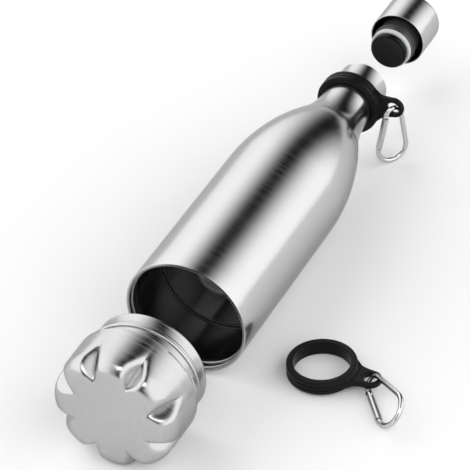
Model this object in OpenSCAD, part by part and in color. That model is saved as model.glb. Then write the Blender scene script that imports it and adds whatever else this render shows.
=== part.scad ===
// Vacuum flask with a hidden compartment in its base.
// The flask lies on its side along +Y with its lids taken off. The origin is the centre of the
// mouth of the compartment. Each piece is drawn upright, along +Z, and then laid down.

/* [Flask] */
// Outer diameter of the flask
flask_d = 70; // [66:0.5:76]
// Length of the straight wall, from the mouth of the compartment to the shoulder
straight_len = 117; // [105:1:135]
// Length of the curved shoulder
shoulder_len = 91; // [84:1:100]
// Radius of the upper, outward curve of the shoulder
shoulder_r = 150; // [130:1:160]
// Thickness of the outer steel wall
outer_wall = 0.8; // [0.6:0.1:1]
// Thickness of the inner steel wall
inner_wall = 0.6; // [0.5:0.1:0.8]
// Evacuated gap between the two walls
vacuum_gap = 2.4; // [1.8:0.1:3]

/* [Neck] */
// Outer diameter of the neck where the carrying ring sits
neck_d = 30.8; // [30.2:0.1:31.6]
// Length of the plain neck, from the shoulder to the step under the cap
neck_len = 13; // [12:0.5:16]
// Length of the narrower end of the neck that goes up into the cap
finish_len = 15; // [13.5:0.5:17]
// Diameter of the bore below the seat of the stopper seal
drink_bore_d = 23.2; // [22:0.1:24]
// Diameter of the bore in the threaded part of the neck
neck_bore_d = 26.8; // [26.6:0.1:27.2]

/* [Compartment] */
// Depth of the hidden compartment
stash_depth = 40; // [32:1:55]
// Length of the threaded collar in the mouth of the compartment
collar_len = 9; // [8:0.5:12]
// Wall of the threaded collar
collar_wall = 1; // [0.8:0.1:1.4]
// Diameter of the round cap in the middle of the compartment's ceiling
seal_cap_d = 26; // [20:0.5:32]

/* [Base lid] */
// Distance from the lid's shoulder to its flat end
lid_side_len = 29.5; // [27:0.5:34]
// Length of the lid's threaded neck
lid_neck_len = 17.5; // [15:0.5:20]
// Radius of the rounded edge round the flat end
lid_edge_r = 9; // [6:0.5:11]
// Number of dents round the flat end
dent_count = 8; // [5:1:10]
// Length of a dent along the side
dent_len = 16; // [12:0.5:17]
// Depth of a dent where it meets the flat end
dent_depth = 12.3; // [8:0.1:13]
// Angle between the two faces of a dent
dent_angle = 84; // [70:1:100]
// Depth of the lid's bore below its shoulder
lid_cup_depth = 11; // [9:0.5:12]
// Thickness of the foam disc in the lid
pad_t = 3; // [2:0.1:4]
// Distance from the mouth of the compartment to the lid's neck, as laid out
lid_out = 40; // [35:1:60]

/* [Drinking cap] */
// Outer diameter of the cap
cap_d = 34; // [33.6:0.1:36]
// Length of the cap's steel shell
cap_len = 26; // [24:0.5:30]
// Thickness of the cap's steel
cap_wall = 0.6; // [0.5:0.1:0.8]
// Thickness of the cap's inner plastic wall
cap_liner_wall = 0.8; // [0.7:0.1:0.9]
// Distance from the rim of the cap to the face of the stopper
stopper_out = 14.5; // [13.5:0.5:16]
// Diameter of the stopper's nose
nose_d = 22.5; // [21:0.1:22.8]
// Length of the stopper's nose, in front of its seal
nose_len = 3.5; // [3:0.1:4.5]
// Outer diameter of the stopper seal
seal_d = 25; // [24.4:0.1:25.2]
// Width of the stopper seal
seal_w = 3; // [2.5:0.1:3.5]
// Distance from the mouth of the neck to the face of the stopper, as laid out
cap_out = 36.5; // [20:0.5:60]

/* [Carrying ring] */
// Wall of the ring round the neck
ring_wall = 3.7; // [3:0.1:4.5]
// Height of the ring along the neck
ring_h = 8; // [7:0.1:9]
// Distance from the neck's axis to the centre of the hole in the lug
lug_reach = 28; // [27:0.5:32]
// Diameter of the hole in the lug
lug_hole_d = 7.4; // [7.2:0.1:7.6]
// Thickness of the lug
lug_t = 3.5; // [3.2:0.1:3.8]
// Angle of the lug above the horizontal
lug_tilt = 10; // [6:1:30]
// How far the spare ring lies to the side of the flask's axis
spare_x = 67.3; // [62:0.1:90]
// How far the spare ring lies along the flask
spare_y = 27.5; // [10:0.1:60]

/* [Carabiner] */
// Diameter of the carabiner's wire
wire_d = 2.8; // [2.4:0.1:3]
// Overall length of the carabiner
carabiner_len = 40; // [36:0.5:41]
// Overall width of the carabiner
carabiner_w = 21; // [19:0.5:24]
// Radius of the wire's centreline at the narrow end
small_bend_r = 4.8; // [4.5:0.1:5]
// Outer diameter of the gate's tube
gate_d = 3.7; // [3.4:0.1:4]
// Diameter of the gate's rivet
rivet_d = 1; // [0.8:0.1:1.2]

/* [Threads and fits] */
// Pitch of the base lid's thread
lid_pitch = 4.4; // [4.2:0.1:5]
// Turns that close the base lid
lid_turns = 1; // [0.8:0.05:1.1]
// Pitch of the stopper's thread
cap_pitch = 3; // [2.8:0.1:3.4]
// Turns that close the drinking cap
cap_turns = 1.5; // [1:0.05:1.6]
// Gap left between a closed lid and what it closes against
seat_gap = 0.1; // [0.05:0.05:0.3]
// Gap between loose pieces
loose_gap = 0.3; // [0.2:0.05:0.4]
// Radial gap of a running fit
run_gap = 0.08; // [0.05:0.01:0.1]

/* [Hidden] */

$fn = 96;
sink = 0.3;

flask_r = flask_d / 2;
neck_r = neck_d / 2;
shell_in_r = flask_r - outer_wall;
shoulder_top = straight_len + shoulder_len;
step_z = shoulder_top + neck_len;
mouth_z = step_z + finish_len;
neck_bore_r = neck_bore_d / 2;
finish_r = neck_bore_r + inner_wall + outer_wall;
drink_bore_r = drink_bore_d / 2;

shoulder_drop = flask_r - neck_r;
shoulder_sum = (pow(shoulder_len, 2) + pow(shoulder_drop, 2)) / (2 * shoulder_drop);
lower_r = shoulder_sum - shoulder_r;
shoulder_angle = asin(shoulder_len / shoulder_sum);
shoulder_steps = 14;

gasket_t = 1;
collar_in_r = shell_in_r - collar_wall;
bevel = 0.2;
fit_gap = 0.05;
thread_h = 1.1;
thread_gap = 0.3;
lid_ridge = [2, 1];
cap_ridge = [1.5, 0.7];
lid_neck_r = collar_in_r - thread_gap - thread_h;
lid_neck_wall = 0.9;
lid_bore_r = lid_neck_r - lid_neck_wall;
lid_lead = lid_neck_len / 2;
lid_travel = lid_pitch * lid_turns;
lid_closed_z = -gasket_t - seat_gap;
lid_open_z = -lid_out - lid_neck_len;
lid_start_z = lid_closed_z - lid_travel + lid_lead;
plate_t = 0.8;

cap_r = cap_d / 2;
cap_travel = cap_pitch * cap_turns;
cap_rest_z = mouth_z + cap_out + stopper_out;
step_clearance = 1.5;
cap_closed_z = step_z + step_clearance;
cap_floor_z = mouth_z - cap_closed_z + 1;
cap_floor_t = 1.5;
liner_out_r = cap_r - cap_wall;
recess_r = liner_out_r - cap_liner_wall;
seal_seat_z = cap_closed_z - stopper_out + nose_len - seat_gap;
plug_root_r = neck_bore_r - thread_h;
plug_crest_r = neck_bore_r - thread_gap;
neck_crest_r = seal_d / 2 + loose_gap;
plug_bore_r = 9;
stem_r = plug_bore_r + 1.3;
getter_h = 2.6;
cap_lead = seal_w + nose_len - stopper_out + 1.3;
cap_start_z = cap_closed_z + cap_travel + cap_lead;

ring_in_r = neck_r + run_gap;
ring_out_r = ring_in_r + ring_wall;
ring_mid_z = shoulder_top + ring_h;
lug_rim = 2.6;
lug_end_r = lug_hole_d / 2 + lug_rim;
lug_flare = 0.9;
wire_r = wire_d / 2;
wire_sag = 0.2;
big_bend_r = carabiner_w / 2 - wire_r;
small_y = -wire_sag - small_bend_r;
big_y = wire_r - wire_sag - carabiner_len + wire_r + big_bend_r;
side_angle = asin((big_bend_r - small_bend_r) / (small_y - big_y));
side_len = (small_y - big_y) * cos(side_angle);
gate_r = gate_d / 2;
gate_bore_r = 1.3;
tab_t = 1.2;
hook_len = 1.8;
tip_wall = 2.6;
plunger_len = 2.2;
plunger_top = gate_r + loose_gap + 0.5;
hinge_drop = 3.2;
gate_len = side_len - hinge_drop;
carabiner_yaw = 38;
hinge_x = small_bend_r * cos(side_angle) + hinge_drop * sin(side_angle);
floor_gap = 0.3;
spare_swing = -46;
spare_lift = hinge_x * cos(carabiner_yaw) + gate_r + floor_gap - ring_h / 2;
spare_tilt = asin(spare_lift / (lug_reach + ring_out_r));
wide_low = big_bend_r * cos(carabiner_yaw) + gate_r + floor_gap;
spare_slope = asin((wide_low - ring_h / 2 - spare_lift) / -big_y) - spare_tilt * cos(spare_swing);

// Points of the shoulder, as radius and height, for a surface that lies off below the outside
function shoulder(off) = concat(
    [for (i = [0 : shoulder_steps])
        let (a = shoulder_angle * i / shoulder_steps)
        [flask_r - shoulder_r + (shoulder_r - off) * cos(a), straight_len + (shoulder_r - off) * sin(a)]],
    [for (i = [shoulder_steps - 1 : -1 : 0])
        let (a = shoulder_angle * i / shoulder_steps)
        [neck_r + lower_r - (lower_r + off) * cos(a), shoulder_top - (lower_r + off) * sin(a)]]
);

function reversed(list) = [for (i = [len(list) - 1 : -1 : 0]) list[i]];

// Points of a quarter circle, from angle a0 to a1
function arc(cx, cy, r, a0, a1, steps) =
    [for (i = [0 : steps]) let (a = a0 + (a1 - a0) * i / steps) [cx + r * cos(a), cy + r * sin(a)]];

// A screw thread's ridge: it climbs from angle a0 and height z0 through the given turns,
// and fades into the wall at both ends; widths are those of its base and its crest
module ridge(root_r, crest_r, widths, pitch, a0, z0, turns) {
    base_w = widths[0];
    crest_w = widths[1];
    steps = ceil(turns * 30);
    into = sign(root_r - crest_r) * sink;
    rings = [for (i = [0 : steps])
        let (
            fade = min(1, i / 2, (steps - i) / 2),
            a = a0 + 360 * turns * i / steps,
            z = z0 + pitch * turns * i / steps,
            top = root_r + (crest_r - root_r) * max(fade, 0.05),
            w = crest_w + (base_w - crest_w) * (1 - 0.5 * fade)
        )
        [for (p = [[root_r + into, -base_w / 2], [root_r + into, base_w / 2], [top, w / 2], [top, -w / 2]])
            [p[0] * cos(a), p[0] * sin(a), z + p[1]]]];
    points = [for (ring = rings) for (p = ring) p];
    sides = [for (i = [0 : steps - 1]) for (k = [0 : 3])
        let (j = (k + 1) % 4) [4 * i + k, 4 * i + j, 4 * i + 4 + j, 4 * i + 4 + k]];
    halves = [for (s = sides) each [[s[0], s[1], s[2]], [s[0], s[2], s[3]]]];
    last = 4 * steps;
    ends = [[2, 1, 0], [3, 2, 0], [last, last + 1, last + 2], [last, last + 2, last + 3]];
    faces = concat(halves, ends);
    flip = crest_r > root_r;
    polyhedron(points, flip ? [for (f = faces) [f[2], f[1], f[0]]] : faces);
}

// Lays an upright piece down along +Y
module lay() {
    rotate([-90, 0, 0]) children();
}

module outer_shell() {
    step = 0.6;
    outside = concat(
        [[flask_r - bevel, 0], [flask_r, bevel]],
        shoulder(0),
        [[neck_r, step_z], [finish_r, step_z + step], [finish_r, mouth_z - plate_t]]
    );
    inside = concat([[shell_in_r, 0]], shoulder(outer_wall));
    top_r = finish_r - outer_wall;
    top = [[neck_r - outer_wall, step_z - 1], [top_r, step_z], [top_r, mouth_z - plate_t]];
    color("silver") lay() rotate_extrude()
        polygon(concat(outside, reversed(concat(inside, top))));
}

module inner_flask() {
    off = outer_wall + vacuum_gap;
    low_z = stash_depth + plate_t + getter_h + vacuum_gap + 1;
    edge = 8;
    r = flask_r - off;
    seat = seal_seat_z;
    lip_h = 0.3;
    outside = concat(
        [[0, low_z]],
        arc(r - edge, low_z + edge, edge, -90, 0, 6),
        shoulder(off),
        [[neck_r - off, seat - 1], [neck_bore_r + inner_wall, seat - 0.4]],
        [[neck_bore_r + inner_wall, mouth_z - plate_t], [finish_r, mouth_z - plate_t]],
        [[finish_r, mouth_z - lip_h], [finish_r - bevel, mouth_z]]
    );
    inner = off + inner_wall;
    inside = concat(
        [[0, low_z + inner_wall]],
        arc(r - edge, low_z + edge, edge - inner_wall, -90, 0, 6),
        shoulder(inner),
        [[drink_bore_r, seat - 3], [drink_bore_r, seat], [neck_bore_r, seat], [neck_bore_r, mouth_z]]
    );
    lead_gap = 20;
    length = 1.5;
    color("gainsboro") lay() union() {
        rotate_extrude() polygon(concat(outside, reversed(inside)));
        ridge(neck_bore_r, neck_crest_r, cap_ridge, cap_pitch, -lead_gap - 360 * length,
            cap_start_z + cap_pitch / 2 - cap_pitch * (length + lead_gap / 360), length);
    }
}

// Pressed plate that closes the vacuum and is the ceiling of the compartment
module vacuum_base() {
    skirt = stash_depth / 8;
    edge = 0.6;
    color("dimgray") lay() translate([0, 0, stash_depth]) rotate_extrude() polygon([
        [0, 0], [shell_in_r - edge, 0], [shell_in_r, edge], [shell_in_r, skirt],
        [shell_in_r - plate_t, skirt], [shell_in_r - plate_t, plate_t], [0, plate_t]
    ]);
}

// Round cap over the place where the air was drawn out
module seal_cap() {
    r = seal_cap_d / 2;
    edge = 0.4;
    rim = r - 5 * edge;
    dish = 0.25;
    color("gray") lay() translate([0, 0, stash_depth - plate_t]) rotate_extrude() polygon([
        [0, dish], [rim - edge, dish], [rim, 0], [r - edge, 0], [r, edge], [r, plate_t], [0, plate_t]
    ]);
}

// Pellet that keeps the vacuum clean, on the hidden side of the plate
module getter() {
    r = 2 * getter_h;
    rim = plate_t;
    color("darkslategray") lay() translate([0, 0, stash_depth + plate_t]) rotate_extrude() polygon([
        [0, 0], [r, 0], [r, rim], [r - rim, getter_h], [0, getter_h]
    ]);
}

module compartment_collar() {
    r = collar_in_r;
    edge = 2 * bevel;
    lead_gap = 20;
    length = 1.2;
    color("gray") lay() union() {
        rotate_extrude() polygon([
            [r + bevel, 0], [shell_in_r, 0], [shell_in_r, collar_len], [r + edge, collar_len],
            [r, collar_len - 2 * edge], [r, bevel]
        ]);
        ridge(r, r - thread_h + 0.1, lid_ridge, lid_pitch, lead_gap,
            lid_start_z - lid_pitch * (0.5 - lead_gap / 360), length);
    }
}

// Puts a piece of the base lid where the lid lies, with its shoulder at height 0
module lid_place() {
    lay() translate([0, 0, lid_open_z]) children();
}

// The grooves pressed into the lid's edge; grow deepens them by a wall
module dents(grow) {
    rise = atan(dent_depth / dent_len);
    half = dent_angle / 2;
    depth = 30;
    reach = 60;
    for (i = [0 : dent_count - 1])
        rotate(360 * i / dent_count + 180 / dent_count)
            translate([flask_r - dent_depth, 0, -lid_side_len]) rotate([0, rise, 0])
                translate([-grow / sin(half), 0, -reach / 2]) linear_extrude(reach)
                    polygon([[0, 0], [depth, depth * tan(half)], [depth, -depth * tan(half)]]);
}

// Solid form of the lid's outside, drawn in by a wall
module lid_form(wall) {
    r = flask_r - wall;
    e = lid_edge_r - wall;
    difference() {
        rotate_extrude() difference() {
            translate([0, -lid_side_len + wall]) union() {
                square([r - e, lid_side_len]);
                translate([0, e]) square([r, lid_side_len - e]);
                translate([r - e, e]) circle(e, $fn = 64);
            }
            translate([-2 * r, -2 * lid_side_len]) square([2 * r, 4 * lid_side_len]);
            translate([0, wall > 0 ? 1 : 0]) square([2 * r, 2 * lid_side_len]);
        }
        dents(wall);
    }
}

module base_cap_shell() {
    color("silver") lid_place() difference() {
        lid_form(0);
        lid_form(outer_wall);
    }
}

// Threaded cup of the lid: neck, shoulder and the bore that joins the compartment
module base_cap_cup() {
    r = lid_neck_r;
    low = -lid_cup_depth - plate_t;
    flange_t = 1.2;
    edge = 2 * bevel;
    length = 1.1;
    color("lightgray") lid_place() union() {
        rotate_extrude() polygon([
            [0, low], [r, low], [r, -flange_t], [shell_in_r, -flange_t], [shell_in_r, 0], [r, 0],
            [r, lid_neck_len - edge], [r - edge, lid_neck_len], [lid_bore_r, lid_neck_len],
            [lid_bore_r, -lid_cup_depth], [0, -lid_cup_depth]
        ]);
        ridge(r, r + thread_h, lid_ridge, lid_pitch, -360 * length, lid_lead - lid_pitch * length, length);
    }
}

module base_cap_gasket() {
    color("whitesmoke") lid_place() difference() {
        cylinder(h = gasket_t, r = shell_in_r - bevel);
        translate([0, 0, -gasket_t]) cylinder(h = 3 * gasket_t, r = lid_neck_r + fit_gap);
    }
}

// Foam disc, a push fit that slides in the lid's bore
module base_cap_pad() {
    r = lid_bore_r - loose_gap;
    edge = 0.6;
    color("dimgray") lid_place() translate([0, 0, loose_gap + lid_travel - lid_cup_depth]) rotate_extrude()
        polygon([[0, 0], [r, 0], [r, pad_t - edge], [r - edge, pad_t], [0, pad_t]]);
}

// Puts a piece of the drinking cap where it lies, with its rim at height 0
module cap_place() {
    lay() translate([0, 0, cap_rest_z]) children();
}

module top_cap_shell() {
    edge = 2.2;
    w = cap_wall;
    color("silver") cap_place() rotate_extrude() polygon(concat(
        [[cap_r - w, 0], [cap_r - bevel, 0], [cap_r, bevel]],
        arc(cap_r - edge, cap_len - edge, edge, 0, 90, 6),
        [[0, cap_len], [0, cap_len - w]],
        arc(cap_r - edge, cap_len - edge, edge - w, 90, 0, 6)
    ));
}

// Black moulding inside the cap: recess for the neck, thread and the stem of the stopper
module top_cap_body() {
    low = nose_len - stopper_out;
    thread_z = low + seal_w;
    edge = 0.4;
    length = 1.5;
    color("black") cap_place() union() {
        rotate_extrude() polygon([
            [plug_bore_r, low], [stem_r, low], [stem_r, thread_z],
            [plug_root_r, thread_z], [plug_root_r, cap_floor_z], [recess_r, cap_floor_z],
            [recess_r, 2 * edge], [recess_r + edge, edge], [liner_out_r, edge],
            [liner_out_r, cap_floor_z + cap_floor_t], [plug_bore_r, cap_floor_z + cap_floor_t]
        ]);
        ridge(plug_root_r, plug_crest_r, cap_ridge, cap_pitch, 0, cap_lead, length);
    }
}

// Glossy nose of the stopper with its dished face, pushed into the stem
module stopper_plug() {
    r = nose_d / 2;
    edge = 1.1;
    dish = r - 1.5 * edge;
    face = -stopper_out;
    low = face + nose_len;
    spigot = 4;
    color("black") cap_place() rotate_extrude() polygon(concat(
        [for (t = [0 : 0.25 : 1]) [dish * t, face + edge * (1 - pow(t, 2))]],
        arc(r - edge, face + edge, edge, -90, 0, 6),
        [[r, low], [plug_bore_r, low], [plug_bore_r, low + spigot], [0, low + spigot]]
    ));
}

module stopper_gasket() {
    low = nose_len - stopper_out;
    high = low + seal_w;
    inner = stem_r + fit_gap;
    r = seal_d / 2;
    edge = 0.3;
    color("whitesmoke") cap_place() rotate_extrude() polygon([
        [inner, low], [r - edge, low], [r, low + edge], [r, high - edge], [r - edge, high], [inner, high]
    ]);
}

// Foam disc shut in the hollow of the cap
module top_cap_insulation() {
    low = cap_floor_z + cap_floor_t;
    side_gap = 2.2;
    height = cap_len - cap_wall - low - cap_travel - 2 * loose_gap;
    color("ivory") cap_place() translate([0, 0, low + loose_gap])
        cylinder(h = height, r = liner_out_r - side_gap);
}

// The hole in the lug, flared at both faces for the wire
module lug_hole() {
    r = lug_hole_d / 2;
    flat = lug_t / 2 - lug_flare;
    wide = r + lug_flare + sink;
    face = lug_t / 2 + sink;
    rotate_extrude() polygon([
        [0, -ring_h], [wide, -ring_h], [wide, -face], [r, -flat], [r, flat], [wide, face],
        [wide, ring_h], [0, ring_h]
    ]);
}

// Moulded ring with a lug along +X, its hole along Z; the middle of its height is at 0
module ring_form() {
    h = ring_h / 2;
    r = ring_out_r;
    edge = 0.8;
    groove = 0.5;
    rib = ring_h / 8;
    spread = 42;
    half = [
        [r * cos(spread), r * sin(spread)], [r * 1.06, lug_end_r * 1.35],
        [lug_reach + lug_end_r * 0.1, lug_end_r * 0.99]
    ];
    difference() {
        union() {
            rotate_extrude() polygon([
                [neck_r, -h], [r - edge, -h], [r, -h + edge],
                [r, -rib * 1.6], [r - groove, -rib * 1.2], [r, -rib * 0.8],
                [r, rib * 0.8], [r - groove, rib * 1.2], [r, rib * 1.6],
                [r, h - edge], [r - edge, h], [neck_r, h]
            ]);
            translate([0, 0, -lug_t / 2]) linear_extrude(lug_t) difference() {
                union() {
                    translate([lug_reach, 0]) circle(lug_end_r);
                    polygon(concat(half, reversed([for (p = half) [p[0], -p[1]]])));
                }
                circle(ring_in_r + 1);
            }
        }
        translate([0, 0, -ring_h]) cylinder(h = 2 * ring_h, r = ring_in_r);
        translate([lug_reach, 0, 0]) lug_hole();
    }
}

// Bend of the wire, from the end of a straight side that stands at the origin.
// The carabiner is drawn flat, narrow end up, with the centre of the lug's hole at the origin.
module bend(r, sweep) {
    translate([-r, 0, 0]) rotate_extrude(angle = sweep) translate([r, 0]) circle(wire_r, $fn = 32);
}

// Puts a piece along one side of the carabiner, measured down from the narrow bend
module along_side(side, down) {
    translate([side * small_bend_r * cos(side_angle), small_y + small_bend_r * sin(side_angle), 0])
        rotate(side * side_angle) translate([0, -down, 0]) children();
}

module frame_form() {
    tab = gate_r * 0.9;
    hook = 0.7 * tab;
    color("silver") union() {
        along_side(1, 0) bend(small_bend_r, 180 - 2 * side_angle);
        along_side(1, side_len) mirror([0, 1, 0]) bend(big_bend_r, 180 + 2 * side_angle);
        along_side(1, side_len) rotate([-90, 0, 0]) cylinder(h = side_len, r = wire_r, $fn = 32);
        difference() {
            union() {
                along_side(-1, hinge_drop) translate([-tab, 0, -tab_t / 2])
                    cube([2 * tab, hinge_drop + 1, tab_t]);
                along_side(-1, hinge_drop) translate([0, 0, -tab_t / 2]) cylinder(h = tab_t, r = tab);
            }
            along_side(-1, hinge_drop) translate([0, 0, -tab_t]) cylinder(h = 2 * tab_t, d = rivet_d);
        }
        along_side(-1, side_len) translate([-hook, -1, -tab_t / 2]) cube([2 * hook, hook_len + 1, tab_t]);
    }
}

// Tube of the gate, slotted at both ends, with its hinge hole at the top
module gate_form() {
    top = gate_r * 0.5;
    slot = tab_t + 0.4;
    end_gap = 0.6;
    length = gate_len - end_gap;
    hook_room = hook_len + loose_gap - end_gap;
    color("silver") along_side(-1, hinge_drop) difference() {
        translate([0, -length, 0]) rotate([-90, 0, 0]) cylinder(h = length + top, r = gate_r, $fn = 32);
        translate([0, tip_wall + end_gap - length, 0]) rotate([-90, 0, 0])
            cylinder(h = length, r = gate_bore_r, $fn = 32);
        translate([-gate_d, -gate_r - loose_gap, -slot / 2]) cube([2 * gate_d, gate_len, slot]);
        translate([-gate_d, -length - 1, -slot / 2])
            cube([gate_d + gate_r * 0.75, hook_room + 1, slot]);
        translate([0, 0, -gate_d]) cylinder(h = 2 * gate_d, d = rivet_d + 2 * run_gap);
    }
}

module rivet_form() {
    head_h = 0.3;
    low = gate_r + fit_gap;
    head_d = rivet_d + 1;
    color("gainsboro") along_side(-1, hinge_drop) union() {
        translate([0, 0, -low - head_h]) cylinder(h = 2 * (low + head_h), d = rivet_d);
        translate([0, 0, -low - head_h]) cylinder(h = head_h, d = head_d);
        translate([0, 0, low]) cylinder(h = head_h, d = head_d);
    }
}

module plunger_form() {
    color("gray") along_side(-1, hinge_drop + plunger_top + plunger_len)
        rotate([-90, 0, 0]) cylinder(h = plunger_len, r = gate_bore_r - run_gap, $fn = 32);
}

// Coil that pushes the plunger up against the hinge
module spring_form() {
    turns = 7;
    wire = 0.18;
    coil_r = gate_bore_r - wire - run_gap;
    top = plunger_top + plunger_len + fit_gap;
    bottom = gate_len - tip_wall - 1.5;
    length = bottom - top;
    steps = turns * 8;
    rings = [for (i = [0 : steps])
        let (a = 360 * turns * i / steps, y = -top - wire - (length - 2 * wire) * i / steps)
        [for (k = [0 : 5]) let (b = 60 * k)
            [(coil_r + wire * cos(b)) * cos(a), y + wire * sin(b), (coil_r + wire * cos(b)) * sin(a)]]];
    points = [for (ring = rings) for (p = ring) p];
    last = 6 * steps;
    color("gray") along_side(-1, hinge_drop) polyhedron(points, concat(
        [for (i = [0 : steps - 1]) for (k = [0 : 5])
            let (j = (k + 1) % 6) each [
                [6 * i + k, 6 * i + j, 6 * i + 6 + j],
                [6 * i + k, 6 * i + 6 + j, 6 * i + 6 + k]]],
        [for (k = [1 : 4]) [0, k + 1, k]],
        [for (k = [1 : 4]) [last, last + k, last + k + 1]]
    ));
}

// Puts the carrying ring round the neck, its lug tilted up
module ring_place() {
    lay() translate([0, 0, ring_mid_z]) rotate([0, 0, -lug_tilt]) children();
}

// Hangs the carabiner from the lug, its plane turned a little out of the flask's axis
module hang_place() {
    translate([lug_reach * cos(lug_tilt), ring_mid_z, lug_reach * sin(lug_tilt)])
        rotate([0, 0, -carabiner_yaw]) rotate([90, 0, 90]) children();
}

// Lays the spare ring beside the flask, its lug lifted a little by the carabiner under it
module spare_place() {
    translate([spare_x - ring_out_r, spare_y, -flask_r]) rotate([0, -spare_tilt, 0])
        translate([ring_out_r, 0, ring_h / 2]) children();
}

// Leans the spare carabiner in the lug, its wide end on the floor
module lean_place() {
    spare_place() translate([lug_reach, 0, 0]) rotate([0, 0, spare_swing])
        rotate([0, -spare_slope, 0]) rotate([-carabiner_yaw, 0, 0]) rotate([90, 0, 0]) rotate(90) children();
}

module neck_ring() { color("black") ring_place() ring_form(); }
module carabiner_frame() { hang_place() frame_form(); }
module carabiner_gate() { hang_place() gate_form(); }
module gate_rivet() { hang_place() rivet_form(); }
module gate_plunger() { hang_place() plunger_form(); }
module gate_spring() { hang_place() spring_form(); }
module spare_ring() { color("black") spare_place() ring_form(); }
module spare_carabiner_frame() { lean_place() frame_form(); }
module spare_carabiner_gate() { lean_place() gate_form(); }
module spare_gate_rivet() { lean_place() rivet_form(); }
module spare_gate_plunger() { lean_place() plunger_form(); }
module spare_gate_spring() { lean_place() spring_form(); }

outer_shell();
inner_flask();
vacuum_base();
seal_cap();
getter();
compartment_collar();
base_cap_pad();
base_cap_gasket();
base_cap_shell();
base_cap_cup();
top_cap_insulation();
stopper_gasket();
top_cap_shell();
top_cap_body();
stopper_plug();
neck_ring();
carabiner_frame();
carabiner_gate();
gate_rivet();
gate_plunger();
gate_spring();
spare_ring();
spare_carabiner_frame();
spare_carabiner_gate();
spare_gate_rivet();
spare_gate_plunger();
spare_gate_spring();
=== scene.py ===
import math

import bmesh
import bpy
import numpy as np
from mathutils import Matrix, Vector


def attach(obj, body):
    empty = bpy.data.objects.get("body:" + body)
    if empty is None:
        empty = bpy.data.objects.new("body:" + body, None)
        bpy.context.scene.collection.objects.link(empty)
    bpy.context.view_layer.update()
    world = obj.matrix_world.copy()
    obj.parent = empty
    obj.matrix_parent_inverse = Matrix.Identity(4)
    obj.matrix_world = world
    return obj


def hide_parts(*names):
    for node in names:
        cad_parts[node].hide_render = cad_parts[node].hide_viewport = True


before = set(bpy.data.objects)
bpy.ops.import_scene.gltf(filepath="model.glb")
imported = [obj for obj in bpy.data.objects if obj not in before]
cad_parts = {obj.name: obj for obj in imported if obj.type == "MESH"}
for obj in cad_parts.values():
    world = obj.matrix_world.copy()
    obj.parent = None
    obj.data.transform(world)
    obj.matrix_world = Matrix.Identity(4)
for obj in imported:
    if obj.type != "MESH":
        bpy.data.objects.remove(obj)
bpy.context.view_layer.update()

# Outer wall
# Drawn stainless steel tube, spun in to a long shoulder and a neck, then
# brushed round its axis on a lathe. Its inner face shows inside the compartment.

MM = 0.001
FLASK_R = 35.0
OUTER_WALL = 0.8
SHELL_IN_R = FLASK_R - OUTER_WALL
STRAIGHT_LEN = 117.0
SHOULDER_LEN = 91.0
SHOULDER_R = 150.0
NECK_R = 15.4
NECK_STEP = 221.0
FINISH_R = 14.8
MOUTH = 236.0
STEEL = (0.53, 0.53, 0.535)
STEEL_TINT = (0.6, 0.6, 0.61, 1)

# Rows of points along the straight wall, which keep its faces short.
WALL_ROWS = (12, 30, 50, 70, 90, 105)

# Points of a mesh that lie closer than this, in metres, are one point. The lid's
# sectors meet less exactly.
WELD = 1e-7
SECTOR_WELD = 2e-6

# A length, slope or share below this is taken as none.
TINY = 1e-6

# A rounded corner takes up at most this share of the sides next to it.
CORNER_SHARE = 0.45

# Nearly all values of a noise lie between these.
NOISE_LOW = 0.3
NOISE_HIGH = 0.7
PATCH_SCALE = 45

# Pieces are drawn upright, with their axis along Z, and laid down along +Y.
LAID = Matrix.Rotation(math.radians(-90), 4, "X")


def add_node(tree, kind, **values):
    """A new node in a tree, with its settings and the values of its inputs."""
    node = tree.nodes.new(kind)
    for key, value in values.items():
        if hasattr(node, key):
            setattr(node, key, value)
        else:
            node.inputs[key.replace("_", " ")].default_value = value
    return node


def surface(name, colour, *, rough, rough_spread, grain, grain_depth, metallic=0.0,
            colour_spread=0.06, patch=0.5, **sockets):
    """A finish with a fine grain over broad soft patches. The grain runs long along an axis
    where its scale is small, patch is the patches' share, and grain_depth is in millimetres."""
    made = bpy.data.materials.new(name)
    made.use_nodes = True
    tree = made.node_tree
    skin = tree.nodes["Principled BSDF"]
    skin.inputs["Metallic"].default_value = metallic
    for key, value in sockets.items():
        skin.inputs[key.replace("_", " ")].default_value = value
    place = add_node(tree, "ShaderNodeTexCoord")
    stretch = add_node(tree, "ShaderNodeMapping", Scale=grain)
    fine = add_node(tree, "ShaderNodeTexNoise", Scale=1.0, Detail=3.0, Roughness=0.6)
    broad = add_node(tree, "ShaderNodeTexNoise", Scale=PATCH_SCALE, Detail=2.0)
    mixed = add_node(tree, "ShaderNodeMix", data_type="FLOAT")
    mixed.inputs[0].default_value = patch
    rough_range = add_node(tree, "ShaderNodeMapRange", From_Min=NOISE_LOW, From_Max=NOISE_HIGH,
                           To_Min=rough - rough_spread, To_Max=rough + rough_spread)
    shade = add_node(tree, "ShaderNodeMix", data_type="RGBA")
    shade.inputs[6].default_value = tuple(c * (1 - colour_spread) for c in colour) + (1,)
    shade.inputs[7].default_value = tuple(min(1, c * (1 + colour_spread)) for c in colour) + (1,)
    relief = add_node(tree, "ShaderNodeBump", Strength=0.5, Distance=grain_depth * MM)
    link = tree.links.new
    link(place.outputs["Object"], stretch.inputs["Vector"])
    link(stretch.outputs["Vector"], fine.inputs["Vector"])
    link(place.outputs["Object"], broad.inputs["Vector"])
    link(fine.outputs["Fac"], mixed.inputs[2])
    link(broad.outputs["Fac"], mixed.inputs[3])
    link(mixed.outputs[0], rough_range.inputs["Value"])
    link(rough_range.outputs["Result"], skin.inputs["Roughness"])
    link(mixed.outputs[0], shade.inputs[0])
    link(shade.outputs[2], skin.inputs["Base Color"])
    link(fine.outputs["Fac"], relief.inputs["Height"])
    link(relief.outputs["Normal"], skin.inputs["Normal"])
    return made


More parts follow.
